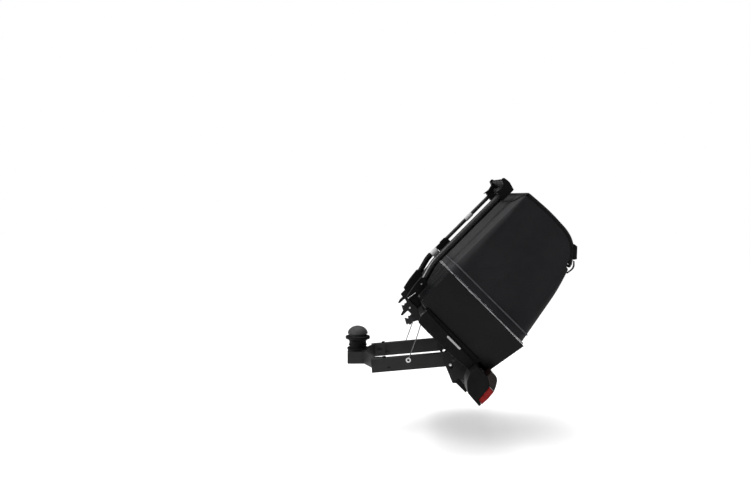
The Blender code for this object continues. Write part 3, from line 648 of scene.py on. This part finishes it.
def lid_cloth(cloth):
    """The lid: one crowned sheet with rolled sides, turned down at the front over its hinge fold."""
    line = [Vector((-0.3077, 0.7003)), Vector((-0.3077, 0.7057)), Vector((-0.3054, 0.7098)), *lid_line()]
    across, down = 120, 60
    deselect()
    bpy.ops.mesh.primitive_grid_add(x_subdivisions=across, y_subdivisions=down, size=1.0)
    obj = bpy.context.object
    for vertex in obj.data.vertices:
        y = vertex.co.x * 2 * 0.4375
        t = vertex.co.y + 0.5
        point = along(line, t)
        run = (along(line, t + 0.01) - along(line, t - 0.01)).normalized()
        out = Vector((-run.y, run.x))
        edge = max(0.0, (abs(y) - 0.4255) / 0.012)
        hold = min(1.0, t / 0.08) * min(1.0, (1 - t) / 0.08)
        drop = 0.0030 * edge ** 2 + hold * (0.0030 * math.cos(y * 3.6)
                                            + noise.noise(Vector((y * 6, t * 5, 2.0))) * 0.0022)
        point = point - out * max(0.0, drop)
        vertex.co = (point.x, y, point.y)
    settle(obj, "lid_cloth", TIPPED)
    harden(obj, ("SOLIDIFY", dict(thickness=0.0050, offset=-1.0)))
    finish_piece(obj, "lid", cloth, ("lid",), 50)
    return obj


def lid_piping(tape):
    """The thick piping round the lid's sides and rear edge."""
    line = inset(lid_line(), 0.006)
    run = (lid_line()[-1] - lid_line()[-2]).normalized()
    corner = line[-1] + run * 0.0068
    half = [(Vector((p.x, -0.4415, p.y)), 0) for p in line[:-1]] + [(Vector((corner.x, -0.4415, corner.y)), 0.010)]
    mirrored = [(Vector((p.x, -p.y, p.z)), soft) for p, soft in half[::-1]]
    points = softened(half + mirrored, closed=False, steps=8)
    return bent_tube("lid_edge_piping", points, 0.006, TIPPED, "lid", tape, ("lid_piping",), 5)


def front_zip(tape):
    """The curved zip across the front wall, from one top corner to the other."""
    half = [(0.430, 0.6955), (0.405, 0.6935), (0.372, 0.6885), (0.344, 0.6815), (0.279, 0.6650), (0.190, 0.6600),
            (0.104, 0.6580)]
    route = [Vector((-0.3096, -y, v)) for y, v in half] + [Vector((-0.3096, 0.0, 0.6570))]
    route += [Vector((-0.3096, y, v)) for y, v in half[::-1]]
    bent_tube("front_zip", smooth_route(route, 6), 0.0026, TIPPED, "platform", tape, (), 3)


def hem_piping(thread):
    """The stitched hem that runs round the cloth a hand's breadth above the rim."""
    ring = wall_ring(0.043, -0.3093, 0.1073, 0.4450, per_corner=10, per_side=40, per_end=40)
    points = [Vector((u, y, HEM)) for u, y, _ in ring]
    bent_tube("hem_piping", points + [points[0], points[1]], 0.0030, TIPPED, "platform", thread, (), 2)


# ---------------------------------------------------------------- tub
def formed_tub(plastic):
    """The tub: a tapered box with rounded corners, opened at the top and given a wall."""
    deselect()
    bpy.ops.mesh.primitive_cube_add(size=1.0)
    obj = bpy.context.object
    for vertex in obj.data.vertices:
        top, rear, side = vertex.co.z > 0, vertex.co.x > 0, (1 if vertex.co.y > 0 else -1)
        if top:
            vertex.co = (0.1230 if rear else -0.3066, side * 0.4395, 0.2555)
        else:
            vertex.co = (0.0955 if rear else -0.2957, side * 0.4195, 0.0695 if rear else 0.0790)
    bpy.ops.object.mode_set(mode="EDIT")
    bm = bmesh.from_edit_mesh(obj.data)
    for face in bm.faces:
        face.select_set(False)
    for edge in bm.edges:
        rise = abs(edge.verts[0].co.z - edge.verts[1].co.z)
        edge.select_set(rise > 0.1)
    bmesh.update_edit_mesh(obj.data)
    bpy.ops.mesh.bevel(offset=0.046, segments=10, affect="EDGES")
    bm = bmesh.from_edit_mesh(obj.data)
    for element in (*bm.verts, *bm.edges, *bm.faces):
        element.select_set(False)
    for edge in bm.edges:
        a, b = edge.verts[0].co, edge.verts[1].co
        edge.select_set(a.z < 0.09 and b.z < 0.09)
    bmesh.update_edit_mesh(obj.data)
    bpy.ops.mesh.bevel(offset=0.014, segments=5, affect="EDGES")
    bm = bmesh.from_edit_mesh(obj.data)
    for face in bm.faces:
        face.select_set(face.normal.z > 0.9 and face.calc_center_median().z > 0.2)
    bmesh.update_edit_mesh(obj.data)
    bpy.ops.mesh.delete(type="FACE")
    bpy.ops.object.mode_set(mode="OBJECT")
    settle(obj, "formed_tub", TIPPED)
    harden(obj, ("SOLIDIFY", dict(thickness=0.0040, offset=-1.0)))
    return finish_piece(obj, "platform", plastic, ("tub",), 28)


def keder_rail(metal):
    """The rail that holds the cloth's hem to the tub, in stretches joined by short sleeves."""
    ring = wall_ring(0.050, -0.3055, 0.1215, 0.4385, per_corner=12, per_side=30, per_end=30)
    points = [Vector((u, y, 0.2605)) for u, y, _ in ring]
    rail = bent_tube("rail", points + points[:2], 0.0037, TIPPED, None, None, None, 3)
    pieces = [rail]
    for u, y, turn in ((-0.188, 0.4385, 0), (0.025, 0.4385, 0)):
        for sign in (-1, 1):
            path = [Vector((u - 0.012, sign * y, 0.2605)), Vector((u + 0.012, sign * y, 0.2605))]
            pieces.append(bent_tube("sleeve", path, 0.0050, TIPPED, None, None, None, 3))
    obj = join("keder_rail", pieces)
    return finish_piece(obj, "platform", metal, ("tub_rim",), 50)


# ---------------------------------------------------------------- coupling head
def coupling_head(nylon, dome_nylon):
    """The ribbed column, the brim ring and the domed knob, each turned."""
    centre = (0.010, 0.0)
    column = lathe("turned_column", [
        (0.0480, 0.0310), (0.0483, 0.0316), (0.0483, 0.0388), (0.0478, 0.0395), (0.0405, 0.0418), (0.0390, 0.0430),
        (0.0390, 0.0483), (0.0394, 0.0486), (0.0416, 0.0506), (0.0419, 0.0512), (0.0419, 0.0538), (0.0416, 0.0544),
        (0.0394, 0.0563), (0.0390, 0.0568), (0.0390, 0.0688), (0.0394, 0.0692), (0.0416, 0.0710), (0.0419, 0.0717),
        (0.0419, 0.0743), (0.0414, 0.0752), (0.0400, 0.0763)], centre)
    finish_piece(column, "coupling", nylon, ("ribbed_column",), 40)
    brim = lathe("turned_brim", [
        (0.0440, 0.0766), (0.0500, 0.0771), (0.0540, 0.0785), (0.0556, 0.0805), (0.0560, 0.0830), (0.0560, 0.0870),
        (0.0556, 0.0892), (0.0540, 0.0915), (0.0500, 0.0930), (0.0440, 0.0935)], centre)
    finish_piece(brim, "coupling", nylon, ("brim_ring",), 40)
    dome = [(0.0430, 0.0938), (0.0430, 0.0958), (0.0425, 0.0961), (0.0388, 0.0966), (0.0385, 0.0970),
            (0.0385, 0.1014), (0.0392, 0.1018), (0.0452, 0.1020), (0.0460, 0.1026)]
    dome += [(0.046 * math.cos(math.radians(a)), 0.1026 + 0.0352 * math.sin(math.radians(a)))
             for a in range(6, 90, 6)]
    knob = lathe("turned_dome", dome + [(0.0012, 0.1378)], centre)
    finish_piece(knob, "knob", dome_nylon, ("dome_knob",), 40)


# ---------------------------------------------------------------- fittings
def ring_terminals(steel, dark_steel):
    """The eyelets that the wires end in, each held to its arm by a dark bolt."""
    for side, sign in SIDES:
        at = Vector((-0.196, sign * 0.2173, 0.0135))
        bpy.ops.mesh.primitive_cylinder_add(vertices=48, radius=0.0110, depth=0.0020, location=(0.0, 0.0, 0.0012))
        eye = bpy.context.object
        harden(eye, ("BEVEL", dict(width=0.0006, segments=2, limit_method="ANGLE")))
        bpy.ops.mesh.primitive_cylinder_add(vertices=20, radius=0.0022, depth=0.0090, location=(0.0, 0.0080, 0.0014))
        crimp = bpy.context.object
        bpy.ops.object.mode_set(mode="EDIT")
        bpy.ops.mesh.select_all(action="SELECT")
        bpy.ops.transform.rotate(value=math.pi / 2, orient_axis="X", center_override=(0.0, 0.0080, 0.0014))
        bpy.ops.object.mode_set(mode="OBJECT")
        harden(crimp, ("BEVEL", dict(width=0.0008, segments=2, limit_method="ANGLE")))
        obj = join(f"eyelet_{side}", [eye, crimp])
        lean = Matrix.Rotation(math.radians(25), 4, "Y")
        settle(obj, f"eyelet_{side}", ARMS @ Matrix.Translation(at) @ lean @ upright_face(sign))
        finish_piece(obj, "coupling", steel, ())
        hex_bolt(f"eyelet_bolt_{side}", at + Vector((0, sign * 0.0022, 0)), (0, sign, 0), 0.008, 0.0035, ARMS,
                 "coupling", dark_steel, (f"wire_bolt_{side}",), washer=0.0055)


def upright_face(sign):
    """Turns a piece drawn lying flat so that it faces sideways, its Y axis pointing up."""
    return Matrix(((sign * -1, 0, 0, 0), (0, 0, sign, 0), (0, 1, 0, 0), (0, 0, 0, 1)))


def fittings(dark_steel):
    """Bolts at the yokes, the clamps and the hinges."""
    for side, sign in SIDES:
        inward = Vector((0, -sign, 0))
        outward = Vector((0, sign, 0))
        hex_bolt(f"yoke_screw_{side}", Vector((0.112, sign * 0.1662, -0.004)), inward, 0.016, 0.0058, Matrix(),
                 "coupling", dark_steel, (f"yoke_bolt_{side}",), washer=0.0100)
        hex_bolt(f"clamp_screw_{side}", Vector((-0.300, sign * 0.197, 0.0292)), (0, 0, 1), 0.0150, 0.0062, ARMS,
                 "coupling", dark_steel, (f"clamp_nut_{side}",), washer=0.0095)
        head = hex_bolt(f"pivot_head_{side}", Vector((0, sign * 0.2226, 0)), outward, 0.0170, 0.0062, ARMS,
                        None, None, None, washer=0.0105)
        nut = hex_bolt(f"pivot_nut_{side}", Vector((0, sign * 0.1714, 0)), inward, 0.0170, 0.0062, ARMS,
                       None, None, None, washer=0.0105)
        obj = join(f"pivot_screw_{side}", [head, nut])
        finish_piece(obj, "coupling", dark_steel, (f"hinge_bolt_{side}",))


# ---------------------------------------------------------------- lamps
def lamps(housing, red, smoke, white):
    """Each lamp's shell, its two lenses and the pale divider between them."""
    for side, sign in SIDES:
        shell = eased_copy(f"lamp_housing_{side}", 4.0, 40, 3)
        finish_piece(settle(shell, f"lamp_shell_{side}"), "platform", housing, (f"lamp_housing_{side}",))
        low = eased_copy(f"red_lens_{side}", 3.0, 40, 3)
        finish_piece(settle(low, f"red_lens_cover_{side}"), "platform", red, (f"red_lens_{side}",))
        high = eased_copy(f"clear_lens_{side}", 3.0, 40, 3)
        finish_piece(settle(high, f"smoke_lens_cover_{side}"), "platform", smoke, (f"clear_lens_{side}",))
        bpy.ops.mesh.primitive_cube_add(size=1.0)
        strip = bpy.context.object
        strip.scale = (0.0262, 0.1080, 0.0012)
        strip.location = (0.1362, sign * 0.4662, 0.0436)
        strip.rotation_euler = (0.0, math.radians(3.3), 0.0)
        settle(strip, f"lamp_divider_{side}", TIPPED)
        harden(strip, ("BEVEL", dict(width=0.0004, segments=2)))
        finish_piece(strip, "platform", white, ())


# ---------------------------------------------------------------- frame and brackets
def upright_frame(enamel, nylon):
    """The inverted U: a full tube on the left, drawn down to a slimmer rod on the right."""
    half = [((-0.3245, -LEG, 0.086), 0), ((-0.3245, -LEG, 0.125), 0.028), ((-0.3545, -LEG, 0.232), 0.025),
            ((-0.3545, -LEG, 0.685), 0.030)]
    mirrored = [((u, -y, v), soft) for (u, y, v), soft in half[::-1]]
    points = softened(half + mirrored, closed=False, steps=10)
    shares = [1.0 - 0.45 * min(1.0, max(0.0, (p.y + LEG) / (2 * LEG))) for p in points]
    bent_tube("bent_frame_tube", points, 0.016, TIPPED, "platform", enamel, ("upright_frame",), 8,
              shares)
    boot = [Vector(p) for p in ((-0.3320, LEG, 0.150), (-0.3435, LEG, 0.192), (-0.3512, LEG, 0.222),
                                (-0.3542, LEG, 0.252))]
    bent_tube("rod_boot", smooth_route(boot, 6), 0.0130, TIPPED, "platform", nylon, (), 6)


EASED = (
    # node, body, edge in millimetres, finish, slot
    ("coupling_block", "coupling", 1.0, "arm", "arm_paint"),
    ("clamp_jaw", "jaw", 0.8, "steel", "zinc"),
    ("cross_tube_front", "platform", 1.0, "enamel", "frame_paint"),
    ("cross_tube_middle", "platform", 1.0, "enamel", "frame_paint"),
    ("cross_tube_rear", "platform", 1.0, "enamel", "frame_paint"),
    ("light_bar", "platform", 1.5, "nylon", "black_plastic"),
    ("plate_holder", "platform", 1.0, "nylon", "black_plastic"),
    ("frame_clamp", "platform", 1.5, "nylon", "black_plastic"),
    ("sleeve_large", "platform", 0.8, "sleeve", "grey_plastic"),
    ("sleeve_small", "platform", 0.8, "sleeve", "grey_plastic"),
    ("foot_pedal", "pedal", 1.2, "nylon", "black_plastic"),
)
EASED_PAIRS = (
    ("arm", "coupling", 1.8, "arm", "arm_paint"),
    ("yoke", "coupling", 1.0, "arm", "arm_paint"),
    ("swing_channel", "platform", 0.9, "frame", "frame_paint"),
    ("side_plate", "platform", 2.0, "nylon", "black_plastic"),
    ("foot_block", "platform", 2.0, "nylon", "black_plastic"),
    ("top_bracket", "platform", 2.0, "nylon", "black_plastic"),
    ("stop_pin", "coupling", 0.5, "dark", "zinc"),
    ("latch_hook", "hook", 0.7, "dark", "zinc"),
    ("buckle", "lid", 2.0, "nylon", "black_plastic"),
    ("closure_strap", "lid", 0.4, "webbing", "webbing"),
)


def eased_pieces(finishes):
    for node, body, edge, finish, slot in EASED:
        piece = settle(eased_copy(node, edge), node + "_body")
        finish_piece(piece, body, finishes[finish], (node,))
    for pair, body, edge, finish, slot in EASED_PAIRS:
        for side, _ in SIDES:
            node = f"{pair}_{side}"
            piece = settle(eased_copy(node, edge), f"{pair}_body_{side}")
            finish_piece(piece, f"hook_{side}" if body == "hook" else body, finishes[finish], (node,))


def side_decals(film):
    """A plain pale bar on each side plate."""
    for side, sign in SIDES:
        bpy.ops.mesh.primitive_cube_add(size=1.0)
        bar = bpy.context.object
        bar.scale = (0.074, 0.0006, 0.0080)
        bar.location = (-0.093, sign * SIDE_FACE, 0.0640)
        settle(bar, f"decal_{side}", TIPPED)
        harden(bar, ("BEVEL", dict(width=0.0002, segments=1)))
        finish_piece(bar, "platform", film, ())


# ---------------------------------------------------------------- added parts
def platform_block(name, low, high, edge_mm, material, body="platform"):
    """A block between two corners of the tipped frame, its edges eased."""
    deselect()
    bpy.ops.mesh.primitive_cube_add(size=1.0)
    obj = bpy.context.object
    obj.scale = [abs(b - a) for a, b in zip(low, high)]
    obj.location = [(a + b) / 2 for a, b in zip(low, high)]
    settle(obj, name, TIPPED)
    harden(obj, ("BEVEL", dict(width=edge_mm * MM, segments=3, limit_method="ANGLE")))
    if body is None:
        return obj
    return finish_piece(obj, body, material, ())


def carrying_bar(nylon):
    """The moulded bar over the frame's crossbar, by which the carrier is lifted."""
    platform_block("carrying_bar", (-0.3970, -0.1720, 0.7000), (-0.3500, 0.1720, 0.7125), 4.0, nylon)


def painted_shade_strips(rubber):
    """A near-black strip of the zip's rubber in the gap between each side plate and the tub's floor: painted shade
    standing in for the shadow in that recess, not a real part.
    """
    for side, sign in SIDES:
        platform_block(f"painted_shade_strip_{side}", (-0.2600, sign * 0.4370, 0.0600), (0.0400, sign * 0.4410, 0.0860), 1.2,
                       rubber)


def foot_details(nylon, steel):
    """Stiffening ribs, bolts and the release lever on each foot block's outer face."""
    for side, sign in SIDES:
        face = sign * FOOT_FACE
        ribs = [platform_block("rib", (u, face, 0.0560), (u + 0.0030, face + sign * 0.0028, 0.1420), 0.7,
                               nylon, None)
                for u in (-0.3235, -0.3140)]
        finish_piece(join(f"foot_ribs_{side}", ribs), "platform", nylon, ())
        hex_bolt(f"foot_bolt_{side}", Vector((-0.3291, face, 0.1323)), (0, sign, 0), 0.0052, 0.0030, TIPPED,
                 "platform", steel, washer=0.0036)
        hex_bolt(f"claw_bolt_{side}", Vector((-0.2932, sign * CHEEK_FACE, 0.0245)), (0, sign, 0), 0.0056, 0.0030,
                 TIPPED, "platform", steel, washer=0.0040)
        lever = [Vector((-0.3270, sign * 0.2195, 0.0470)), Vector((-0.3235, sign * 0.2195, 0.0670)),
                 Vector((-0.3199, sign * 0.2195, 0.0875))]
        bent_tube(f"release_lever_{side}", smooth_route(lever, 4), 0.0017, TIPPED, "platform", steel, (), 4)


def rod_shroud(nylon):
    """The guide round the right leg, between the large sleeve and the clamp."""
    platform_block("rod_shroud", (-0.3625, 0.1765, 0.2920), (-0.3335, 0.2035, 0.3620), 4.0, nylon)


def cheek_details(steel, frame_paint):
    """A bright rivet on each hinge cheek and pressed ribs behind it."""
    for side, sign in SIDES:
        face = sign * CHEEK_FACE
        hex_bolt(f"cheek_rivet_{side}", Vector((0.0062, face, -0.0263)), (0, sign, 0), 0.0100, 0.0030, TIPPED,
                 "platform", steel, washer=0.0062)
        ribs = [platform_block("rib", (u, face, -0.0180), (u + 0.0035, face + sign * 0.0024, 0.0300), 0.7,
                               frame_paint, None)
                for u in (0.0440, 0.0560, 0.0680, 0.0800)]
        finish_piece(join(f"cheek_ribs_{side}", ribs), "platform", frame_paint, ())


# ---------------------------------------------------------------- build
set_the_stage()
restraint_wires()

arm_paint = powder_coat("textured_powder_coat", "#1a1a1a", "#212121", 0.50)
frame_paint = powder_coat("smooth_powder_coat", "#0d0d0d", "#121212", 0.42)
nylon = moulded_nylon("glass_filled_nylon", "#070707", "#0c0c0c", 0.52)
dome_nylon = moulded_nylon("soft_touch_nylon", "#303030", "#3c3c3c", 0.55)
sleeve_grey = moulded_nylon("grey_acetal", "#8f8f90", "#a5a5a6", 0.45)
enamel = polished_enamel("gloss_tube_enamel", "#121212", "#1a1a1a", 0.34)
bright_zinc = zinc_plate("bright_zinc_plate", "#b0b0b1", "#cfcfd0", 0.34)
black_zinc = zinc_plate("black_zinc_plate", "#262627", "#343436", 0.42)
cloth = coated_canvas()
tape = zip_rubber()
thread = moulded_nylon("bonded_hem_thread", "#343436", "#3e3e40", 0.7)
red_acrylic = lens_acrylic("red_acrylic_lens", "#5a0403", "#7c0a07", 0.05, 0.16, 5.0)
smoke_acrylic = lens_acrylic("smoke_acrylic_lens", "#120c0b", "#1a1312", 0.05, 0.14, 7.0)
film = printed_decal()

fabric_walls(cloth)
lid_cloth(cloth)
lid_piping(tape)
front_zip(tape)
hem_piping(thread)
formed_tub(vacuum_formed_abs())
keder_rail(anodised_extrusion())
coupling_head(nylon, dome_nylon)
upright_frame(enamel, nylon)
eased_pieces({"arm": arm_paint, "frame": frame_paint, "nylon": nylon, "sleeve": sleeve_grey, "enamel": enamel,
              "steel": bright_zinc, "dark": black_zinc, "webbing": webbing()})
ring_terminals(bright_zinc, black_zinc)
fittings(black_zinc)
lamps(nylon, red_acrylic, smoke_acrylic, film)
side_decals(film)
carrying_bar(nylon)
# Painted shade: near-black strips in the shadowed gaps between the side plates and the tub.
painted_shade_strips(tape)
foot_details(nylon, bright_zinc)
rod_shroud(nylon)
cheek_details(bright_zinc, frame_paint)
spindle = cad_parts["knob_spindle"]
spindle.data.materials.clear()
spindle.data.materials.append(bright_zinc)
